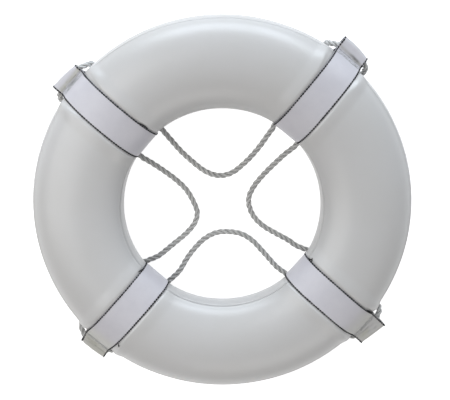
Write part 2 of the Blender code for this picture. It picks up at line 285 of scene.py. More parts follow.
def seenDirectly(tree):
    # 1 where the camera sees it, straight or through a reflection
    path = put(tree, "ShaderNodeLightPath")
    camera, glossy, through = (Field(tree, path.outputs[name]) for name in
                               ("Is Camera Ray", "Is Glossy Ray", "Is Transmission Ray"))
    return camera.math("MAXIMUM", glossy).math("MAXIMUM", through)


def makeStage():
    world = bpy.data.worlds.new("studio")
    bpy.context.scene.world = world
    world.use_nodes = True
    tree = world.node_tree
    shade = mixColour(tree, seenDirectly(tree), light["sky"], light["white"])
    join(tree, shade, tree.nodes["Background"].inputs["Color"])

    half, height = light["floorSize"] / 2, frameFloor()
    corners = [(half * x, half * y, height) for x, y in ((-1, -1), (1, -1), (1, 1), (-1, 1))]
    floor = newObject("floor", corners, faces=[(0, 1, 2, 3)])
    material, tree, shader = newMaterial("pale floor", {
        "Base Color": paint(*light["floorColour"]), "Roughness": light["floorRoughness"],
        "Specular IOR Level": light["floorSpecular"], "Emission Strength": 1.0})
    glow = seenDirectly(tree) * light["floorGlow"]
    join(tree, joinVector(tree, glow, glow, glow), shader.inputs["Emission Color"])
    floor.data.materials.append(material)

    for name, (place, size, watts, colour) in light["lamps"].items():
        data = bpy.data.lights.new(name, "AREA")
        data.shape = "RECTANGLE"
        data.size, data.size_y = size
        data.energy, data.color = watts, colour
        item = linked(name, data)
        item.location = place
        item.rotation_euler = (-Vector(place)).to_track_quat("-Z", "Y").to_euler()


def newMaterial(name, fixed):
    # What is the same all over a surface is set on the shader's own sockets
    material = bpy.data.materials.new(name)
    material.use_nodes = True
    tree = material.node_tree
    shader = tree.nodes["Principled BSDF"]
    for socket, value in fixed.items():
        shader.inputs[socket].default_value = value
    return material, tree, shader


def frameFloor():
    # The rope's flattened underside is what the whole thing rests on
    return min(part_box("bight_" + name)[0].z for name in bights)


# The straps' places and the grab line's route, with the same points as the CAD source

straps = {  # direction in degrees, sideways shift, where the line comes out on its two sides
    "top_right": (51.2, -0.003, -0.035, 0.013),
    "top_left": (139.0, 0.003, -0.025, 0.031),
    "bottom_left": (228.8, -0.006, -0.010, 0.034),
    "bottom_right": (319.0, 0.004, -0.033, 0.016),
}
bights = {  # strap it starts at and its side, strap it ends at and its side, points in the hole
    "top": ("top_left", -1, "top_right", 1,
            [(-87, 102), (-68, 80), (-51, 64), (-34, 50), (-19, 42), (-2, 39),
             (16, 44), (33, 57), (50, 74), (65, 93), (76, 109)]),
    "right": ("bottom_right", 1, "top_right", -1,
              [(113, -73), (90, -60), (70, -48), (55, -34), (46, -17), (44, 1),
               (52, 20), (65, 37), (82, 55), (103, 75)]),
    "bottom": ("bottom_right", -1, "bottom_left", 1,
               [(80, -105), (66, -89), (50, -72), (32, -61), (10, -57), (-11, -59),
                (-30, -69), (-46, -85), (-60, -104), (-69, -120)]),
    "left": ("top_left", 1, "bottom_left", -1,
             [(-119, 62), (-98, 48), (-77, 32), (-60, 15), (-48, -6), (-42, -24),
              (-46, -41), (-60, -59), (-82, -78), (-101, -94)]),
}
ring = dict(
    outerRadius=0.305, holeRadius=0.1585, halfThickness=0.050, power=2.1, wall=0.0025,
    grooveDepth=0.0005, grooveWidth=0.0009, lipHeight=0.0005, lipPlace=0.0032, lipWidth=0.0018,
    bedDepth=0.0021, bulge=0.0018, bulgeMore=0.8, bulgeOut=0.0038, bulgeFlare=0.006, bulgeEnd=0.026,
    unevenness=0.00035, gather=0.65, gatherReach=0.5,
    stepsAround=640, stepsAcross=104)
seamLine = dict(height=0.019, gap=0.0003, samples=400, sampleStep=0.001)
bed = dict(  # where a strap's bed starts and is complete, and the size of the skin's waves
    front=(0.004, 0.022), rim=(0.26, 0.30), start=(0.05, 0.10), edge=(0.0003, -0.0020),
    waves=9.0, ripples=45.0, rippleShare=0.35, seamMark=0.0025,
    mergeWithin=0.00001)
middle = (ring["outerRadius"] + ring["holeRadius"]) / 2
halfWidth = (ring["outerRadius"] - ring["holeRadius"]) / 2
rope = dict(
    diameter=0.0095, lineHeight=-0.05505, strandPlace=0.00237, strandRadius=0.00238, lay=0.031,
    yarns=9, roundSteps=48, step=0.0013, startInside=0.008, blendReach=0.028,
    exitTurn=[(0, 0, 0), (0, 0.0026, 0), (0.0010, 0.0078, 0.0008), (0.0033, 0.0122, 0.0031),
              (0.0063, 0.0154, 0.0070), (0.0090, 0.0172, 0.0120)],
    underTurn=[(-25, 0.0184), (-42, 0.0182), (-58, 0.0155), (-74, 0.0108)],
    # Only in what is seen: shares of the mouth's pull and sag at each point, and nearer to the strap
    slack=[(1, 1, 0), (1.25, 1.4, 0), (1.4, 1.9, 0.0018), (1.35, 2.4, 0.0034), (1.1, 2.6, 0.0046),
           (0.7, 2.4, 0.0054)], nearer=[0.0056, 0.0050, 0.0036, 0.0014],
    looseness=0.0012, settled=0.0018, mouth=0.0257, besideStrap=0.03045, legSway=0.0012, emerge=0.146,
    driftStart=0.18936)
sleeveX = 0.31905  # the rope's middle in its sleeves


def signedPower(value, power):
    return np.sign(value) * np.abs(value) ** power


def sectionNormal(angle):
    power = 2 - 2 / ring["power"]
    x = signedPower(np.cos(angle), power) / halfWidth
    z = signedPower(np.sin(angle), power) / ring["halfThickness"]
    length = np.hypot(x, z)
    return x / length, z / length


def sectionPoint(angle, lift=0.0):
    # Point on the ring's section, lifted off it: x is the distance from the ring's axis
    power = 2 / ring["power"]
    nx, nz = sectionNormal(angle)
    return (middle + halfWidth * signedPower(np.cos(angle), power) + lift * nx,
            ring["halfThickness"] * signedPower(np.sin(angle), power) + lift * nz)


def axesOf(name):
    angle = math.radians(straps[name][0])
    return (Vector((math.cos(angle), math.sin(angle), 0)),
            Vector((-math.sin(angle), math.cos(angle), 0)))


def legRoute(name, side, hang=1.0):
    # With hang 0 these are the CAD source's points, which give the line its length
    shift = straps[name][1]
    emerge = straps[name][3] if side > 0 else -straps[name][2]
    pull, sag = (value * hang for value in mouthShift(name, side))
    places = []
    for (inward, beyond, drop), (pulled, sunk, near) in zip(rope["exitTurn"], rope["slack"]):
        places.append((sleeveX - inward + pull * pulled, rope["mouth"] + beyond - near * hang,
                       -drop - sag * sunk))
    loose = rope["looseness"] - rope["settled"] * hang + rope["diameter"] / 2
    for (degrees, beyond), near in zip(rope["underTurn"], rope["nearer"]):
        x, z = sectionPoint(math.radians(degrees), loose)
        places.append((x, rope["mouth"] + beyond - near * hang, max(z, rope["lineHeight"])))
    drift, low = rope["driftStart"], rope["lineHeight"]
    places += [(middle, rope["besideStrap"] + rope["legSway"], low),
               (drift, rope["besideStrap"], low),
               ((drift + rope["emerge"]) / 2, (rope["besideStrap"] + emerge) / 2, low),
               (rope["emerge"], emerge, low)]
    out, across = axesOf(name)
    return [out * x + across * (shift + side * s) + Vector((0, 0, z)) for x, s, z in places]


def mouthShift(name, side):
    # How far the rope is pulled out and hangs down at a sleeve's mouth
    return tuple(value / 1000 for value in strapLook[name]["rope"][side > 0])


def smoothCurve(points, steps=12):
    # Fine points on a smooth curve through all points
    ghosts = [points[0] * 2 - points[1]] + points + [points[-1] * 2 - points[-2]]
    fine = [points[0]]
    for a, b, c, d in zip(ghosts, ghosts[1:], ghosts[2:], ghosts[3:]):
        knots = [0.0]
        for p, q in ((a, b), (b, c), (c, d)):
            knots.append(knots[-1] + math.sqrt((q - p).length))
        t0, t1, t2, t3 = knots
        for i in range(1, steps + 1):
            t = t1 + (t2 - t1) * i / steps
            ab, bc, cd = (p.lerp(q, (t - u) / (v - u)) for p, q, u, v in
                          ((a, b, t0, t1), (b, c, t1, t2), (c, d, t2, t3)))
            abc, bcd = ab.lerp(bc, (t - t0) / (t2 - t0)), bc.lerp(cd, (t - t1) / (t3 - t1))
            fine.append(abc.lerp(bcd, (t - t1) / (t2 - t1)))
    return fine


def evenPoints(points, step, closed=False):
    # The same line with its points a step apart
    array = np.array([tuple(point) for point in points], float)
    if closed:
        array = np.vstack([array, array[:1]])
    lengths = np.concatenate([[0], np.cumsum(np.linalg.norm(np.diff(array, axis=0), axis=1))])
    places = np.linspace(0, lengths[-1], max(2, round(lengths[-1] / step)) + 1)
    made = np.column_stack([np.interp(places, lengths, axis) for axis in array.T])
    return (made[:-1] if closed else made), lengths[-1]


def ropeTree(values):
    tree, given = newTree("laid rope", values)
    along = Field(tree, put(tree, "GeometryNodeSplineParameter").outputs["Length"])
    twist = put(tree, "GeometryNodeSetCurveTilt", {
        "Curve": lineOf(tree, given), "Tilt": along * (2 * math.pi) / given("lay")})
    circle = put(tree, "GeometryNodeCurvePrimitiveCircle", {
        "Resolution": given("roundSteps"), "Radius": 1.0})
    x, y, z = position(tree)
    # Three round strands side by side, each a third of the way round
    third = 2 * math.pi / 3
    turn = y.math("ARCTAN2", x) + 2 * math.pi
    offset = turn.math("MODULO", third) - third / 2
    reach = (given("strandRadius") ** 2.0
             - (given("strandPlace") * offset.math("SINE")) ** 2.0).math("SQRT")
    size = given("strandPlace") * offset.math("COSINE") + reach
    profile = stored(tree, circle, "round", joinVector(tree, x, y, 0.0), "FLOAT_VECTOR")
    profile = moved(tree, profile, joinVector(tree, x * size, y * size, 0.0))
    body = swept(tree, stored(tree, twist, "along", along), profile)
    onFloor = joinVector(tree, x, y, z.math("MAXIMUM", given("floor")))
    return closeTree(tree, moved(tree, body, onFloor), given)


def makeRopes(material):
    values = {key: rope[key] for key in ("strandPlace", "strandRadius", "lay", "roundSteps")}
    values.update(floor=frameFloor(), Material=material)
    tree = ropeTree(values)
    for name, (start, startSide, end, endSide, between) in bights.items():
        free = [Vector((x / 1000, y / 1000, rope["lineHeight"])) for x, y in between]
        plain, route = (
            smoothCurve(legRoute(start, startSide, hang) + free + legRoute(end, endSide, hang)[::-1])
            for hang in (0.0, 1.0))
        length = evenPoints(plain, rope["step"])[1]
        inside = [place + (place - after).normalized() * rope["startInside"]
                  for place, after in ((route[0], route[1]), (route[-1], route[-2]))]
        points, _ = evenPoints([inside[0]] + route + [inside[1]], rope["step"])
        piece = grow(newLines("grab_rope_" + name, [points]), tree, values)
        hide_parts("line_%s_to_%s" % (start, name), "line_%s_to_%s" % (end, name),
                    "bight_" + name)
        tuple(route[0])
        hingeStart, hingeEnd = legRoute(start, startSide)[-1], legRoute(end, endSide)[-1]
        centre = (hingeStart + hingeEnd) / 2
        inward = Vector((hingeStart.y - hingeEnd.y, hingeEnd.x - hingeStart.x, 0)).normalized()
        if inward.dot(centre) > 0:
            inward.negate()
        reach = inward * rope["blendReach"]
        centre - reach
        centre + reach
        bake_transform(piece)
        print("rope", name, "%.1f mm" % (length * 1000))

    half = rope["mouth"] - rope["startInside"] - rope["step"]
    for name, (_, shift, *_) in straps.items():
        out, across = axesOf(name)
        ends = []
        for side in (-1, 1):
            pull, sag = mouthShift(name, side)
            ends.append(out * (sleeveX + pull) + across * (shift + side * half) - Vector((0, 0, sag)))
        points, _ = evenPoints(ends, rope["step"])
        piece = grow(newLines("rope_in_sleeve_" + name, [points]), tree, values)
        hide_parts("line_in_sleeve_" + name)
        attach(piece, "ring")


# Finishes

wearLook = dict(  # where each mark starts and is at its strongest in its noise
    mottle=(0.32, 0.68), specks=(0.16, 0.05), patches=(0.52, 0.66), scratch=(0.010, 0.0),
    scratchLengths=(0.60, 0.72), patchScale=3.1, scratchScale=14.0, scratchLengthScale=1.7)


def wearTree():
    # Uneven tone, dust, scratches and a fine grain, shared by all the finishes
    tree, given = newTree("wear and dust", {
        "Vector": (0.0, 0.0, 0.0), "Mottle Scale": 14.0, "Dust Scale": 700.0,
        "Scratch Scale": 30.0, "Grain Scale": 1400.0},
        ["Mottle", "Dust", "Scratches", "Grain"], "ShaderNodeTree")
    place, look = given("Vector"), wearLook
    mottle = blendRange(noiseField(tree, place, given("Mottle Scale"), 4.0, 0.6), *look["mottle"])
    specks = blendRange(cellField(tree, place, given("Dust Scale")), *look["specks"])
    patches = noiseField(tree, place, given("Mottle Scale") * look["patchScale"])
    x, y, z = splitVector(tree, place)
    # Scratches are drawn out long and thin, a little aslant
    drawn = joinVector(tree, x * 0.05 + y * 0.02, y * 1.0 - x * 0.35, z * 0.4)
    lines = noiseField(tree, drawn, given("Scratch Scale") * look["scratchScale"], 0.0)
    lengths = noiseField(tree, place, given("Scratch Scale") * look["scratchLengthScale"])
    put(tree, "NodeGroupOutput", {
        "Mottle": mottle, "Dust": specks * blendRange(patches, *look["patches"]),
        "Scratches": (blendRange(abs(lines - 0.5), *look["scratch"])
                      * blendRange(lengths, *look["scratchLengths"])),
        "Grain": noiseField(tree, place, given("Grain Scale"), 3.0, 0.6)})
    return tree


def addWear(tree, group, values):
    place = put(tree, "ShaderNodeTexCoord").outputs["Object"]
    node = put(tree, "ShaderNodeGroup", {"Vector": place, **values}, node_tree=group)
    return [Field(tree, socket) for socket in node.outputs] + [place]


def coat(tree, shader, base, coats, roughness):
    # Coats of colour over the base, each with the amount that covers it
    colour = paint(*base)
    for amount, over in coats:
        colour = mixColour(tree, amount, colour, paint(*over))
    join(tree, colour, shader.inputs["Base Color"])
    join(tree, roughness, shader.inputs["Roughness"])


def addBump(tree, shader, height, distance, strength=1.0):
    node = put(tree, "ShaderNodeBump", {
        "Strength": strength, "Distance": distance, "Height": height})
    join(tree, node, shader.inputs["Normal"])


def readAttribute(tree, name, output="Fac"):
    return Field(tree, put(tree, "ShaderNodeAttribute", attribute_name=name).outputs[output])


# dirt gives the seam's dark line, and in the strap beds it is painted shade under the straps' edges
shellPaint = dict(base=(205, 204, 204), warm=(200, 199, 197), dirt=(150, 149, 147),
                  dust=(180, 179, 177), roughness=0.30, specular=0.8, bump=0.00006)


def shellMaterial(group):
    material, tree, shader = newMaterial(
        "moulded shell", {"Specular IOR Level": shellPaint["specular"]})
    mottle, dust, scratches, grain, _ = addWear(tree, group, {
        "Mottle Scale": 9.0, "Dust Scale": 420.0, "Scratch Scale": 22.0, "Grain Scale": 900.0})
    coat(tree, shader, shellPaint["base"], [
        (mottle * 0.45, shellPaint["warm"]),
        # Painted shade: darker in the strap beds, under the straps and right at their edges
        (readAttribute(tree, "channel") * mottle * 0.18, shellPaint["dirt"]),
        (readAttribute(tree, "seam") ** 3.0 * 0.2, shellPaint["dirt"]),
        (dust * 0.4, shellPaint["dust"])],
        mottle * 0.04 + scratches * 0.04 + dust * 0.15 + shellPaint["roughness"])
    addBump(tree, shader, grain - scratches * 0.3, shellPaint["bump"], 0.3)
    return material


foamPaint = dict(base=(238, 232, 214), cell=(216, 206, 182), cellScale=420.0, roughness=0.85,
                 bump=0.0006)


def foamMaterial(group):
    material, tree, shader = newMaterial("closed cell foam", {})
    mottle, dust, _, grain, place = addWear(tree, group, {"Mottle Scale": 30.0})
    depth = cellField(tree, place, foamPaint["cellScale"])
    coat(tree, shader, foamPaint["cell"], [(depth * 0.8 + mottle * 0.2, foamPaint["base"])],
         dust * 0.1 + foamPaint["roughness"])
    addBump(tree, shader, depth + grain * 0.2, foamPaint["bump"])
    return material


# grime is the dark grey of the painted shade in the creases and the sleeve's fold valley, together
# with some dirt
webbingPaint = dict(
    base=(205, 203, 210), pale=(212, 210, 216), aged=(192, 191, 182), olive=(170, 169, 146),
    creaseShadeAndGrime=(104, 105, 108), thread=(120, 120, 124), edge=(0.0228, 0.0240), weave=0.0011,
    roughness=0.36, specular=0.8, sheen=0.08, bump=0.00012)


def webbingMaterial(group):
    colours = webbingPaint
    material, tree, shader = newMaterial("coated webbing", {
        "Sheen Weight": colours["sheen"], "Specular IOR Level": colours["specular"]})
    mottle, dust, scratches, grain, _ = addWear(tree, group, {
        "Mottle Scale": 26.0, "Dust Scale": 800.0, "Scratch Scale": 60.0})
    along, across, _ = splitVector(tree, put(tree, "ShaderNodeUVMap", uv_map="flat"))
    perThread = math.pi / colours["weave"]
    warp = abs((across * perThread).math("SINE"))
    weft = abs(((along + across * 0.5) * perThread).math("SINE"))
    coat(tree, shader, colours["base"], [
        (mottle * 0.8, colours["pale"]),
        (readAttribute(tree, "aged") * (mottle * 0.35 + 0.65), colours["aged"]),
        # Olive and dark grey bands: painted shade along the creases and in the sleeve's fold valley,
        # together with real staining and dirt
        (readAttribute(tree, "olive"), colours["olive"]),
        (readAttribute(tree, "grey"), colours["creaseShadeAndGrime"]),
        (dust * 0.35, colours["thread"]),
        # Darker along the strap's edges, under the stitch rows: painted shade of the thread together
        # with dirt
        (blendRange(abs(across), *colours["edge"]) * 0.55, colours["thread"])],
        mottle * 0.1 + scratches * 0.1 + colours["roughness"])
    addBump(tree, shader, warp * weft + grain * 0.4 - scratches * 0.8, colours["bump"], 0.5)
    return material


threadPaint = {  # fresh colour, worn colour, roughness
    "black thread": ((4, 4, 6), (20, 20, 24), 0.75),
    "grey thread": ((176, 177, 178), (128, 130, 126), 0.7),
}
threadLook = dict(specular=0.25, strands=5200, bump=0.00010)


def threadMaterial(group, name):
    base, worn, roughness = threadPaint[name]
    material, tree, shader = newMaterial(name, {"Specular IOR Level": threadLook["specular"]})
    mottle, dust, _, grain, place = addWear(tree, group, {
        "Mottle Scale": 180.0, "Dust Scale": 2600.0, "Grain Scale": 5000.0})
    coat(tree, shader, base, [(mottle * 0.5 + dust * 0.4, worn)], mottle * 0.15 + roughness)
    x, y, z = splitVector(tree, place)
    strands = abs(((x + y * 0.8 + z * 0.6) * threadLook["strands"]).math("SINE"))
    addBump(tree, shader, strands + grain * 0.5, threadLook["bump"], 0.6)
    return material


ropePaint = dict(base=(206, 206, 205), pale=(218, 218, 216), valleyShade=(154, 154, 152),
                 dirt=(158, 155, 148), roughness=0.62, sheen=0.15, bump=0.00035,
                 grooveEdge=(0.55, 1.0), yarnEdge=(0.35, 0.0))


def ropeMaterial(group):
    material, tree, shader = newMaterial("laid rope", {"Sheen Weight": ropePaint["sheen"]})
    mottle, dust, _, grain, _ = addWear(tree, group, {
        "Mottle Scale": 38.0, "Dust Scale": 1100.0, "Grain Scale": 3200.0})
    rx, ry, _ = splitVector(tree, readAttribute(tree, "round", "Vector"))
    turn = ry.math("ARCTAN2", rx) + 2 * math.pi
    third = 2 * math.pi / 3
    offset = abs(turn.math("MODULO", third) / third - 0.5) * 2
    # Yarns lie against the strands' turn, so that they run nearly along the rope
    lean = rope["diameter"] / 2 / rope["strandRadius"] * 2 * math.pi / rope["lay"]
    yarn = turn + readAttribute(tree, "along") * (lean / 2)
    yarn = abs((yarn * (rope["yarns"] / 2)).math("SINE"))
    # Painted shade: darker in the valleys between the strands, and fainter between the yarns
    coat(tree, shader, ropePaint["base"], [
        (mottle, ropePaint["pale"]), (dust * 0.5, ropePaint["dirt"]),
        (blendRange(offset, *ropePaint["grooveEdge"]) * 0.85, ropePaint["valleyShade"]),
        (blendRange(yarn, *ropePaint["yarnEdge"]) * 0.4, ropePaint["valleyShade"])],
        mottle * 0.1 + ropePaint["roughness"])
    addBump(tree, shader, yarn + grain * 0.35, ropePaint["bump"], 0.8)
    return material


# The ring's two skins

def bell(value, width):
    return ((value / width) ** 2.0 * -1).math("EXPONENT")


def signed(value, power):
    return value.math("SIGN") * abs(value) ** power


def skinTree(values):
    tree, given = newTree("ring skin", values)
    grid = put(tree, "GeometryNodeMeshGrid", {
        "Size X": 1.0, "Size Y": 1.0, "Vertices X": given("stepsAround") + 1,
        "Vertices Y": given("stepsAcross") + 1})
    x, y, _ = position(tree)
    even = (x + 0.5) * (2 * math.pi)
    turn = even
    for i in range(len(straps)):  # the steps are closer together near the straps
        away = (even - given("strap%dDirection" % i)).math("WRAP", math.pi, -math.pi)
        turn = turn - away * given("gather") * bell(away, given("gatherReach"))
    place = y + 0.5
    # Up the outer face for four fifths of the steps, then back down the inner one
    outerShare = 0.8
    share = (place / outerShare).math("MINIMUM", (1.0 - place) / (1 - outerShare))
    ease = (1.0 - (share.math("MAXIMUM", 0.0) * math.pi).math("COSINE")) / 2
    inner = place.math("GREATER_THAN", outerShare + 0.0001)
    angle = given("firstAngle") + (given("lastAngle") - given("firstAngle")) * ease
    cosine, sine = cosSin(angle)

    mid = (given("outerRadius") + given("holeRadius")) / 2
    half = (given("outerRadius") - given("holeRadius")) / 2
    power = given("power") ** -1.0 * 2
    radius = mid + half * signed(cosine, power)
    height = given("halfThickness") * signed(sine, power)
    nx = signed(cosine, 2.0 - power) / half
    nz = signed(sine, 2.0 - power) / given("halfThickness")
    size = (nx * nx + nz * nz).math("SQRT")
    nx, nz = nx / size, nz / size
    cosTurn, sinTurn = cosSin(turn)
    px, py = radius * cosTurn, radius * sinTurn

    toSeam = given("faceLength") * ease.math("MINIMUM", 1.0 - ease)
    lift = (given("lipHeight") * bell(toSeam - given("lipPlace"), given("lipWidth"))
            - given("grooveDepth") * bell(toSeam, given("grooveWidth")))
    # Under each strap the skin is pressed in, and beside it on the front it bulges up
    front = blendRange(height, *bed["front"])
    bow = (1.0 - ((radius - mid) / half) ** 2.0) * front
    rim = blendRange(radius, *bed["rim"])
    wide = given("bulgeOut") + given("bulgeFlare") * rim
    channel, raised = 0.0, 0.0
    for i in range(len(straps)):
        cosWay, sinWay = cosSin(given("strap%dDirection" % i))
        line = given("strap%dShift" % i) + given("strap%dBow" % i) * bow
        edge = abs(py * cosWay - px * sinWay - line) - given("strapHalf")
        here = blendRange(px * cosWay + py * sinWay, *bed["start"])
        channel = blendRange(edge, *bed["edge"]) * here + channel
        raised = (blendRange(edge, 0.0, wide) * blendRange(edge, given("bulgeEnd"), wide)
                  * here * front + raised)
    base = joinVector(tree, px, py, height)
    waves = (noiseField(tree, base, bed["waves"], 1.0) - 0.5) * 2
    ripples = (noiseField(tree, base, bed["ripples"], 1.0) - 0.5) * bed["rippleShare"]
    lift = lift - channel * given("bedDepth")
    lift = lift + raised * given("bulge") * (given("bulgeMore") * rim + 1)
    lift = lift + (waves + ripples) * given("unevenness")
    lift = lift * (1.0 - inner) - given("wall") * inner
    radius, height = radius + nx * lift, height + nz * lift
    # The marks are worked out on the flat grid, so they are stored before it is shaped
    marked = stored(tree, grid, "seam", bell(toSeam, bed["seamMark"]))
    marked = stored(tree, marked, "channel", channel)
    shaped = moved(tree, marked, joinVector(tree, radius * cosTurn, radius * sinTurn, height))
    merged = put(tree, "GeometryNodeMergeByDistance", {
        0: shaped, "Distance": bed["mergeWithin"]})
    return closeTree(tree, merged, given)


def makeSkins(material):
    tilt = math.asin((seamLine["height"] / ring["halfThickness"]) ** (ring["power"] / 2))
    gap = seamLine["gap"] / 2 / math.hypot(halfWidth * math.sin(tilt),
                                           ring["halfThickness"] * math.cos(tilt))
    values = {**ring, "strapHalf": strap["width"] / 2, "Material": material}
    for i, (name, (direction, shift, *_)) in enumerate(straps.items()):
        values["strap%dDirection" % i] = math.radians(direction)
        values["strap%dShift" % i] = shift
        values["strap%dBow" % i] = float(np.interp(middle, *strapPath(name))) - shift
    tree = skinTree({**values, "firstAngle": 0.0, "lastAngle": 1.0, "faceLength": 0.19})
    for name, first, last, node in (
            ("shell_front", tilt + gap, math.pi - tilt - gap, "front_skin"),
            ("shell_rear", math.pi - tilt + gap, 2 * math.pi + tilt - gap, "rear_skin")):
        face = np.column_stack(sectionPoint(np.linspace(first, last, seamLine["samples"])))
        piece = grow(newObject(name, [(0, 0, 0)]), tree, {
            **values, "firstAngle": first, "lastAngle": last,
            "faceLength": evenPoints(face, seamLine["sampleStep"])[1]})
        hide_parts(node)
        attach(piece, "ring")
        print(name, len(piece.data.polygons), "faces")


# Straps

strap = dict(
    width=0.0508, thick=0.0021, lift=-0.0013, neckX=0.3090, sleeveRadius=0.00735,
    ropeHole=0.00525, edgeRound=0.00095, loopStep=0.0005, fineStep=0.0014, outlineStep=0.0009,
    softness=0.0013, sectionSteps=300, pathSmooth=4.5,
    stitchInset=0.0016, stitchDent=0.00020, dentReach=0.0006, drape=0.85, bridgeStart=0.3000)
zones = dict(  # where along the strap, or how high on its section, a change starts and is complete
    narrow=(0.304, 0.319), seenHeight=(-0.040, -0.006), seenSleeve=(0.3045, 0.3090),
    hole=(middle + 0.010, middle - 0.035), outer=(0.285, 0.3075), pulled=(0.298, 0.3100),
    tip=(0.3105, 0.3264), pressed=(0.3150, 0.3264), upper=(0.0005, 0.0016),
    hanging=(0.3070, 0.3135), sleeve=(0.302, 0.312), stainedAndShaded=(-0.004, 0.001))
crinkle = dict(ring=0.00016, ringScale=38, sleeve=0.00035, sleeveScale=133, puckers=0.00028,
               stainsAndShade=420, puckerX=0.3110, puckerReach=0.0040, puckerPitch=0.0071)
agedOver = 30  # millimetres from the start of the age stain to its full strength
strapLook = {  # millimetres, along the strap from the ring's axis and across from its middle
    # path: places along the strap, and the strap's middle to the side
    # fold, tip, sag: how far the sleeve's fold and tip are pulled out, and how far it hangs down
    # on its two sides; bow: how far the tip's middle stands out beyond its sides
    # bridge: how far the upper layer runs straight from the ring to the sleeve's top
    # flat: how far the tip is pressed flat; narrow: the sleeve's share of the strap's full width
    # rope: the rope's pull and sag at the sleeve's two mouths
    # creases: place, slant, depth and width; aged: where the age stain starts, and its strength
    # stains: bands of painted shade along the creases and in the sleeve's fold valley, together with
    # real staining, as place, slant, width, olive, grey, middle across and reach across
    "top_right": dict(
        path=[(158, -3.4), (170, -3.3), (191, -3.1), (208, -2.7), (227, -2.45), (249, -2.7),
              (266, -3.2), (282, -3.8), (294, -4.3), (303, -4.8), (326, -4.35)],
        fold=(-2.0, -1.0), tip=(-0.3, 4.8), sag=(1.0, 1.0), bow=2.4,
        bridge=0.5, flat=0.0, narrow=1.0,
        rope=[(-2.0, 2.8), (-5.5, 3.6)], aged=(312, 0.35),
        creases=[(313.0, 0.09, 0.3, 2.4)],
        stainsAndShade=[(314.0, 0.08, 2.2, 0.35, 0.15, 0, 30), (314.8, 0.08, 1.7, 0, 0.7, -7, 9)]),
    "top_left": dict(
        path=[(158, 2.7), (170, 2.6), (191, 2.5), (217, 2.35), (239, 2.4), (266, 2.6),
              (288, 2.9), (294, 3.05), (303, 3.7), (326, 4.3)],
        fold=(-2.5, -2.0), tip=(-4.3, 1.3), sag=(1.8, 1.0), bow=1.8,
        bridge=0.35, flat=0.0, narrow=1.0,
        rope=[(-5.5, 4.4), (-5.0, 3.4)], aged=(306, 0.25),
        creases=[(314.6, 0, 0.5, 1.8)],
        stainsAndShade=[(314.2, 0, 3.2, 0.6, 0, 0, 40), (312.0, 0, 0.9, 0.3, 0.2, 0, 30),
                (307.5, 0, 1.8, 0.15, 0.65, 0, 9)]),
    "bottom_left": dict(
        path=[(153, -5.2), (159, -5.9), (164, -6.4), (169, -6.8), (175, -7.3), (182, -7.65),
              (198, -8.0), (227, -8.4), (258, -8.0), (282, -7.5), (294, -7.6), (303, -7.1),
              (312, -5.4), (320, -2.8), (328, -0.9)],
        fold=(-2.0, -2.0), tip=(1.5, 0.6), sag=(2.5, 3.0), bow=1.6,
        bridge=0.75, flat=0.75, narrow=0.965,
        rope=[(-3.6, 3.0), (-5.5, 4.5)], aged=(272, 0.9),
        creases=[(318.5, -0.06, 0.8, 1.2), (314.5, 0.05, 0.4, 2.0)],
        stainsAndShade=[(318.5, -0.06, 1.2, 0.35, 0.4, 4, 18), (315.0, 0, 2.4, 0.4, 0.15, -8, 12)]),
    "bottom_right": dict(
        path=[(154, 3.5), (160, 4.15), (170, 4.6), (183, 4.9), (199, 5.5), (208, 5.75),
              (227, 5.8), (249, 5.3), (266, 4.6), (282, 3.9), (303, 3.8), (316, 1.6), (330, -1.2)],
        fold=(-2.0, -2.0), tip=(2.3, 11.5), sag=(1.2, 1.2), bow=0.3,
        bridge=0.95, flat=0.6, narrow=0.975,
        rope=[(-5.0, 3.4), (-2.5, 3.0)], aged=(268, 0.8),
        creases=[(316.5, 0.2, 0.4, 1.8), (323.0, 0.3, 0.3, 1.3)],
        stainsAndShade=[(315.5, 0.16, 1.4, 0.15, 0.45, -4, 16), (320.0, 0.1, 2.6, 0.5, 0, -8, 9),
                (323.0, 0.3, 1.1, 0, 0.35, 6, 11)]),
}


def zone(name, value):
    return smoothStep(*zones[name], value)


def turned(name, x, z, side=0.0):
    # From the strap's own directions, out, across and up, to the ring's
    out, way = axesOf(name)
    x, z, side = (np.ravel(v) for v in np.broadcast_arrays(x, z, side))
    return np.outer(x, out) + np.outer(side, way) + np.outer(z, (0, 0, 1))


def acrossValue(name, key, across):
    low, high = strapLook[name][key]
    return (low + (high - low) * (np.asarray(across) / strap["width"] + 0.5)) / 1000


def sleeveShift(name, across, share):
    # How far the sleeve is pulled out at a place across the strap, between fold and tip
    fold, tip = (acrossValue(name, key, across) for key in ("fold", "tip"))
    bow = strapLook[name]["bow"] / 1000 * (1 - (np.asarray(across) / strap["width"] * 2) ** 2)
    return fold + (tip + bow - fold) * share


def tangentAngle(x, lift):
    # Angle at which a line from the point (x, 0) touches the lifted section
    low, high = 0.0, math.pi / 2
    for _ in range(40):
        angle = (low + high) / 2
        px, pz = sectionPoint(angle, lift)
        nx, nz = sectionNormal(angle)
        low, high = (angle, high) if (x - px) * nx > pz * nz else (low, angle)
    return low


def bridgeHeight(x):
    # Straight from the upper layer on the ring to the top of the sleeve
    angles = np.linspace(math.pi / 2, 0, strap["sectionSteps"])
    px, pz = sectionPoint(angles, strap["lift"] + strap["thick"])
    start = strap["bridgeStart"]
    share = (x - start) / (sleeveX - start)
    return np.interp(start, px, pz) * (1 - share) + strap["sleeveRadius"] * share


def softened(points, distance, step):
    reach = int(3 * distance / step) + 1
    offsets = np.arange(-reach, reach + 1)
    weights = np.exp(-(offsets * step / distance) ** 2 / 2)
    rolled = sum(w * np.roll(points, i, axis=0) for w, i in zip(weights, offsets))
    return rolled / weights.sum()


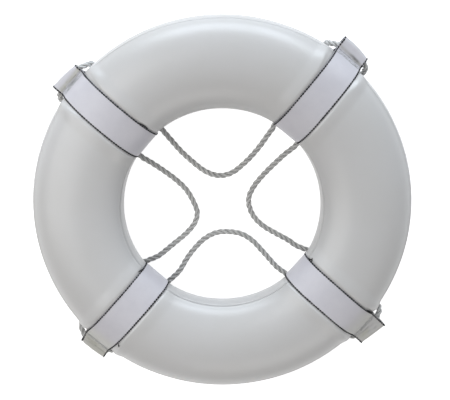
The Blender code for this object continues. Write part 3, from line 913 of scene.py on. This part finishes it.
def strapLoops():
    # Outline, ring opening and rope hole of a strap's section, each anticlockwise from its tip
    lift, thick, radius = strap["lift"], strap["thick"], strap["sleeveRadius"]
    leave = tangentAngle(strap["neckX"], lift)
    angles = np.linspace(leave, 2 * math.pi - leave, strap["sectionSteps"])
    face, inside = (np.column_stack(sectionPoint(angles, height)) for height in (lift + thick, lift))
    slope = math.atan2(inside[0][1], strap["neckX"] - inside[0][0])
    foldX = strap["neckX"] + thick * math.tan(slope / 2)
    bend = math.pi - math.asin(thick / radius)

    def arc(size, first, last, count):
        turn = np.linspace(first, last, count)
        return np.column_stack([sleeveX + size * np.cos(turn), size * np.sin(turn)])

    outline = np.vstack([arc(radius, 0, bend, 40), [(foldX, thick)], face,
                         [(foldX, -thick)], arc(radius, -bend, 0, 40)[:-1]])
    opening = np.vstack([[(strap["neckX"], 0)], inside])
    fine = strap["loopStep"]
    outline = softened(evenPoints(outline, fine, True)[0], strap["softness"], fine)
    return (evenPoints(outline, strap["fineStep"], True)[0],
            evenPoints(opening, strap["fineStep"] * 1.8, True)[0],
            arc(strap["ropeHole"], 0, 2 * math.pi, 33)[:-1])


def loopNormals(loop):
    ahead = np.roll(loop, -1, axis=0) - np.roll(loop, 1, axis=0)
    ahead /= np.linalg.norm(ahead, axis=1)[:, None]
    return np.column_stack([ahead[:, 1], -ahead[:, 0]])


def strapPath(name):
    # The strap's sideways path on the picture's side, smoothed, every millimetre
    places = np.arange(0.140, 0.340, 0.001)
    given = np.array(strapLook[name]["path"]) / 1000
    values = np.interp(places, given[:, 0], given[:, 1])
    reach = 12
    weights = np.exp(-(np.arange(-reach, reach + 1) / strap["pathSmooth"]) ** 2 / 2)
    return places, np.convolve(np.pad(values, reach, mode="edge"), weights / weights.sum(), "valid")


def strapPoints(name, x, z, across, under=0.0):
    # From the strap's flat section to the ring: drape, sideways path, sleeve pull and creases
    look, shift = strapLook[name], straps[name][1]
    x, z, across = (np.asarray(v, float) for v in np.broadcast_arrays(x, z, across))
    seenSide = np.maximum(zone("seenHeight", z), zone("seenSleeve", x))
    path = np.interp(x, *strapPath(name))
    narrow = 1 + (look["narrow"] - 1) * zone("narrow", x)
    side = shift + (path - shift) * seenSide + across * narrow
    # Across the hole's edge the strap is pulled flat; over the outer side it follows the ring
    inner = zone("hole", x)
    outer = strap["drape"] * (1 - zone("outer", x))
    flat = strap["width"] / 2 + abs(shift)
    placed = np.sqrt(x ** 2 - (side ** 2 * outer * (1 - inner) + flat ** 2 * inner))
    placed = placed + sleeveShift(name, across, zone("tip", x)) * zone("pulled", x)
    pressed = look["flat"] * (across / strap["width"] + 0.5) * zone("pressed", x)
    top = zone("upper", z)
    over = (x > strap["bridgeStart"]) & (x < sleeveX)
    lifted = np.clip(bridgeHeight(x) - under - z, 0, None) * over * top * look["bridge"]
    height = (z + lifted) * (1 - pressed)
    height = height - acrossValue(name, "sag", across) * zone("hanging", x)
    for place, slant, depth, width in look["creases"]:
        off = (placed * 1000 - place - slant * across * 1000) / width
        height = height - depth / 1000 * np.exp(-off ** 2) * top
    # Two waves out of step, shifted from strap to strap
    puckers = (np.sin(across * 2 * math.pi / crinkle["puckerPitch"] + shift * 900) * 0.6
               + np.sin(across * 1730) * 0.4)
    fade = np.exp(-((x - crinkle["puckerX"]) / crinkle["puckerReach"]) ** 2)
    height = height + crinkle["puckers"] * puckers * fade * top
    return turned(name, placed, height, side)


def edgeList():
    # Places across the strap, close together where its edges are rounded
    steps = [0, 0.12, 0.35, 0.7, 1.05, 1.35, 1.6, 1.8, 2.0, 2.3, 2.8, 3.6]
    left = np.array(steps) / 1000 - strap["width"] / 2
    centre = np.linspace(left[-1] + 0.002, -left[-1] - 0.002, 23)
    return np.concatenate([left, centre, -left[::-1]])


def strapMesh(name):
    stations = edgeList()
    depth = strap["width"] / 2 - np.abs(stations)
    gap = np.clip(strap["edgeRound"] - depth, 0, None)
    inset = strap["edgeRound"] - np.sqrt(np.maximum(strap["edgeRound"] ** 2 - gap ** 2, 0))
    dent = strap["stitchDent"] * np.exp(-((depth - strap["stitchInset"]) / strap["dentReach"]) ** 2)
    # The outline, the ring's opening a layer below it, and the rope's hole, which isn't bridged
    unders = (0, strap["thick"] * 1.1, strap["sleeveRadius"] * 9)
    points, marks, faces, caps, total = [], [], [], ([], []), 0
    for kind, (loop, under) in enumerate(zip(strapLoops(), unders)):
        normals = loopNormals(loop) * (-1 if kind else 1)
        steps = np.linalg.norm(np.roll(loop, -1, axis=0) - loop, axis=1)
        along = np.concatenate([[0], np.cumsum(steps)[:-1]])
        count = len(loop)
        if not kind:
            whole = float(np.sum(steps))
            facing = turned(name, *normals.T)
        for k, across in enumerate(stations):
            placed = loop - normals * (inset[k] + (0 if kind else dent[k]))
            block = strapPoints(name, placed[:, 0], placed[:, 1], across, under)
            if not kind:
                block = block + facing * wrinkles(name, block, loop)[:, None]
            points.append(block)
            marks.append(np.column_stack([along, np.full(count, across)]))
            if k in (0, len(stations) - 1):
                caps[k > 0].append(([Vector((a, b, 0)) for a, b in placed], total))
            if k:
                for i in range(count):
                    here, ahead = total + i, total + (i + 1) % count
                    faces.append((here - count, here, ahead, ahead - count))
            total += count
    for cap in caps:
        order = [start + i for loop, start in cap for i in range(len(loop))]
        for triangle in geometry.tessellate_polygon([loop for loop, _ in cap]):
            faces.append(tuple(order[i] for i in triangle))
    piece = newObject("webbing_strap_" + name, np.vstack(points), faces=faces)
    return finishStrap(name, piece, np.vstack(marks), whole)


def wrinkles(name, block, loop):
    onSleeve = zone("sleeve", loop[:, 0])
    amount = crinkle["ring"] * (1 - onSleeve) + crinkle["sleeve"] * onSleeve
    scale = crinkle["ringScale"] + (crinkle["sleeveScale"] - crinkle["ringScale"]) * onSleeve
    return np.array([a * noise.noise(Vector(p) * s + Vector((straps[name][0], 0, 0)))
                     for a, s, p in zip(amount, scale, block)])


def finishStrap(name, piece, marks, whole):
    mesh = piece.data
    shape = bmesh.new()
    shape.from_mesh(mesh)
    bmesh.ops.recalc_face_normals(shape, faces=shape.faces)
    shape.to_mesh(mesh)
    shape.free()
    flat = mesh.uv_layers.new(name="flat")
    values = marks[[loop.vertex_index for loop in mesh.loops]]
    for face in mesh.polygons:  # a face that closes the loop runs on past the start
        part = values[face.loop_start:face.loop_start + face.loop_total]
        if np.ptp(part[:, 0]) > whole / 2:
            part[part[:, 0] < whole / 2, 0] += whole
    flat.data.foreach_set("uv", values.astype(np.float32).ravel())
    look = strapLook[name]
    places = np.array([vertex.co for vertex in mesh.vertices])
    x, across = places @ np.array(axesOf(name)[0]) * 1000, marks[:, 1] * 1000
    rough = np.array([noise.noise(Vector(place) * crinkle["stainsAndShade"]) for place in places])
    start, amount = look["aged"]
    aged = amount * smoothStep(start, start + agedOver, x)
    olive, grey = np.zeros(len(places)), np.zeros(len(places))
    # Bands of painted shade along the creases and in the fold valley, together with real staining
    for place, slant, width, oliveShare, greyShare, centre, reach in look["stainsAndShade"]:
        band = (np.exp(-((x + rough * 0.9 - place - slant * across) / width) ** 2)
                * np.exp(-((across - centre) / reach) ** 4) * (1 + 0.7 * rough)
                * zone("stainedAndShaded", places[:, 2]))
        olive, grey = olive + oliveShare * band, grey + greyShare * band
    for mark, amounts in (("aged", aged), ("olive", olive), ("grey", grey)):
        keepValues(mesh, mark, np.clip(amounts, 0, 1))
    mesh.shade_smooth()
    return piece


# Stitching: a boxy value of 1 gives a round bead, and a smaller one a blockier dash

stitch = dict(pitch=0.0046, length=0.0040, width=0.0028, height=0.0012, tilt=math.radians(3),
              unevenness=0.08, boxy=0.68, seed=7)
crossStitch = dict(pitch=0.0031, length=0.0036, width=0.0011, height=0.0008,
                   tilt=math.radians(38), unevenness=0.08, boxy=0.9, seed=19)
crossRows = dict(places=(0.3114, 0.3088, 0.3066), margin=0.0034, ragged=0.0009, looseUpTo=0.310,
                 loose=2, tight=0.6, noise=(210, 900), points=60, facing=(0.3, 0.95))
stitchLift = 0.0002


def stitchTree(values):
    tree, given = newTree("stitches", values)
    bead = put(tree, "GeometryNodeMeshUVSphere", {"Segments": 8, "Rings": 6, "Radius": 0.5})
    bx, by, bz = position(tree)
    fuller = (signed(axis * 2, given("boxy")) * 0.5 for axis in (bx, by))
    shaped = put(tree, "GeometryNodeTransform", {
        0: moved(tree, bead, joinVector(tree, *fuller, bz)),
        "Scale": joinVector(tree, given("length"), given("width"), given("height"))})
    outward = put(tree, "GeometryNodeInputNamedAttribute", {"Name": "outward"},
                  data_type="FLOAT_VECTOR")
    ahead = put(tree, "FunctionNodeAlignRotationToVector",
                {"Vector": put(tree, "GeometryNodeInputTangent")}, axis="X")
    facing = put(tree, "FunctionNodeAlignRotationToVector",
                 {"Rotation": ahead, "Vector": outward}, axis="Z", pivot_axis="X")

    def chance(low, high, seed):
        return put(tree, "FunctionNodeRandomValue", {2: low, 3: high, 8: seed},
                   data_type="FLOAT").outputs[1]

    turn = chance(given("tilt") * -1, given("tilt"), given("seed"))
    spin = put(tree, "FunctionNodeEulerToRotation", {0: joinVector(tree, 0.0, 0.0, turn)})
    rotation = put(tree, "FunctionNodeRotateRotation", {"Rotation": facing, "Rotate By": spin},
                   rotation_space="LOCAL")
    size = chance(1.0 - given("unevenness"), 1.0 + given("unevenness"), given("seed") + 1)
    rows = put(tree, "GeometryNodeInstanceOnPoints", {
        "Points": lineOf(tree, given, given("pitch")), "Instance": shaped, "Rotation": rotation,
        "Scale": joinVector(tree, size, size, size)})
    return closeTree(tree, rows, given)


threadEnd = dict(radius=0.0007, step=0.0006, roundSteps=8)
threadEnds = {  # millimetres along the strap, across from the ring's axis and above the ring
    "top_left": [[(173.5, -22.6, 1.8), (177, -23.9, 2.4), (183, -23.6, 2.4), (188.6, -22.5, 2)]],
    "bottom_left": [[(160.5, -30.6, 2.2), (162.6, -32.8, 3.2), (165.4, -34.0, 3.0)],
                    [(276.8, 17.4, 2.2), (278.8, 20.2, 3.6), (281.2, 22.0, 3.2)]],
    "bottom_right": [[(160.0, 29.4, 2.2), (162.6, 31.8, 3.2), (162.0, 35.0, 3.0)],
                     [(164.6, 30.1, 2.2), (163.4, 32.4, 3.2), (162.4, 33.6, 3.2)],
                     [(285.0, 29.3, 2.6), (292.0, 29.2, 3.4), (299.5, 28.3, 3.4)],
                     [(288.0, 30.4, 2.6), (294.0, 30.0, 3.5), (300.5, 29.5, 3.8)]],
}


def threadEndTree(values):
    tree, given = newTree("thread end", values)
    circle = put(tree, "GeometryNodeCurvePrimitiveCircle", {
        "Resolution": given("roundSteps"), "Radius": given("radius")})
    body = swept(tree, lineOf(tree, given, given("step")), circle)
    return closeTree(tree, body, given)


def onRing(name, x, across, above):
    # A place above the ring's front, given in millimetres in a strap's directions
    out, way = axesOf(name)
    place = out * (x / 1000) + way * (across / 1000)
    share = min(abs(place.length - middle) / halfWidth, 1)
    height = ring["halfThickness"] * (1 - share ** ring["power"]) ** (1 / ring["power"])
    return place + Vector((0, 0, height + above / 1000))


def makeThreadEnds(black):
    values = {**threadEnd, "Material": black}
    tree = threadEndTree(values)
    for name, lines in threadEnds.items():
        curves = [smoothCurve([onRing(name, *place) for place in line], 6) for line in lines]
        piece = grow(newLines("thread_ends_" + name, curves), tree, values)
        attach(piece, "ring")
    print("thread ends")


def crossLines(name, index, upper):
    # The ragged rows across a sleeve, on the upper side of the section
    half = strap["width"] / 2 - crossRows["margin"]
    across = np.linspace(-half, half, crossRows["points"])
    upper = upper[np.argsort(upper[:, 0])]
    fine, apart = crossRows["noise"]
    for row in crossRows["places"]:
        ragged = np.array([noise.noise(Vector((a * fine, row * apart, index))) for a in across])
        loose = crossRows["loose"] if row < crossRows["looseUpTo"] else crossRows["tight"]
        x = row + crossRows["ragged"] * ragged * loose
        yield strapPoints(name, x, np.interp(x, *upper.T) + stitchLift, across)


def makeStraps(webbing, black, grey):
    outline = evenPoints(strapLoops()[0], strap["outlineStep"], True)[0]
    normals = loopNormals(outline)
    line = outline + normals * (stitchLift - strap["stitchDent"])
    tree = stitchTree(stitch)
    for index, name in enumerate(straps):
        piece = strapMesh(name)
        piece.data.materials.append(webbing)
        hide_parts("strap_" + name)
        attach(piece, "ring")
        for label, side in (("a", 1), ("b", -1)):
            across = side * (strap["width"] / 2 - strap["stitchInset"])
            row = newLines("edge_stitches_%s_%s" % (name, label), [strapPoints(name, *line.T, across)],
                           True, turned(name, *normals.T))
            grow(row, tree, {**stitch, "seed": stitch["seed"] + index * 10 + side, "Material": black})
            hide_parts("edge_stitching_%s_%s" % (name, label))
            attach(row, "ring")
        rows = list(crossLines(name, index, outline[:len(outline) // 4]))
        facing = turned(name, *crossRows["facing"])
        seam = newLines("sleeve_stitches_" + name, rows, False, np.repeat(
            facing, sum(len(row) for row in rows), axis=0))
        grow(seam, tree, {**crossStitch, "seed": crossStitch["seed"] + index * 10, "Material": grey})
        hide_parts("sleeve_seam_" + name)
        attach(seam, "ring")
        print("strap", name, len(piece.data.polygons), "faces")


# All of it, camera and cords first

makeCamera()
makeStage()
print("camera, floor and lamps")
wear = wearTree()
makeRopes(ropeMaterial(wear))
makeSkins(shellMaterial(wear))
blackThread = threadMaterial(wear, "black thread")
makeThreadEnds(blackThread)
makeStraps(webbingMaterial(wear), blackThread, threadMaterial(wear, "grey thread"))
foam = foamMaterial(wear)
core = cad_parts["foam_core"]
core.data.materials.clear()
core.data.materials.append(foam)
print("all pieces made")
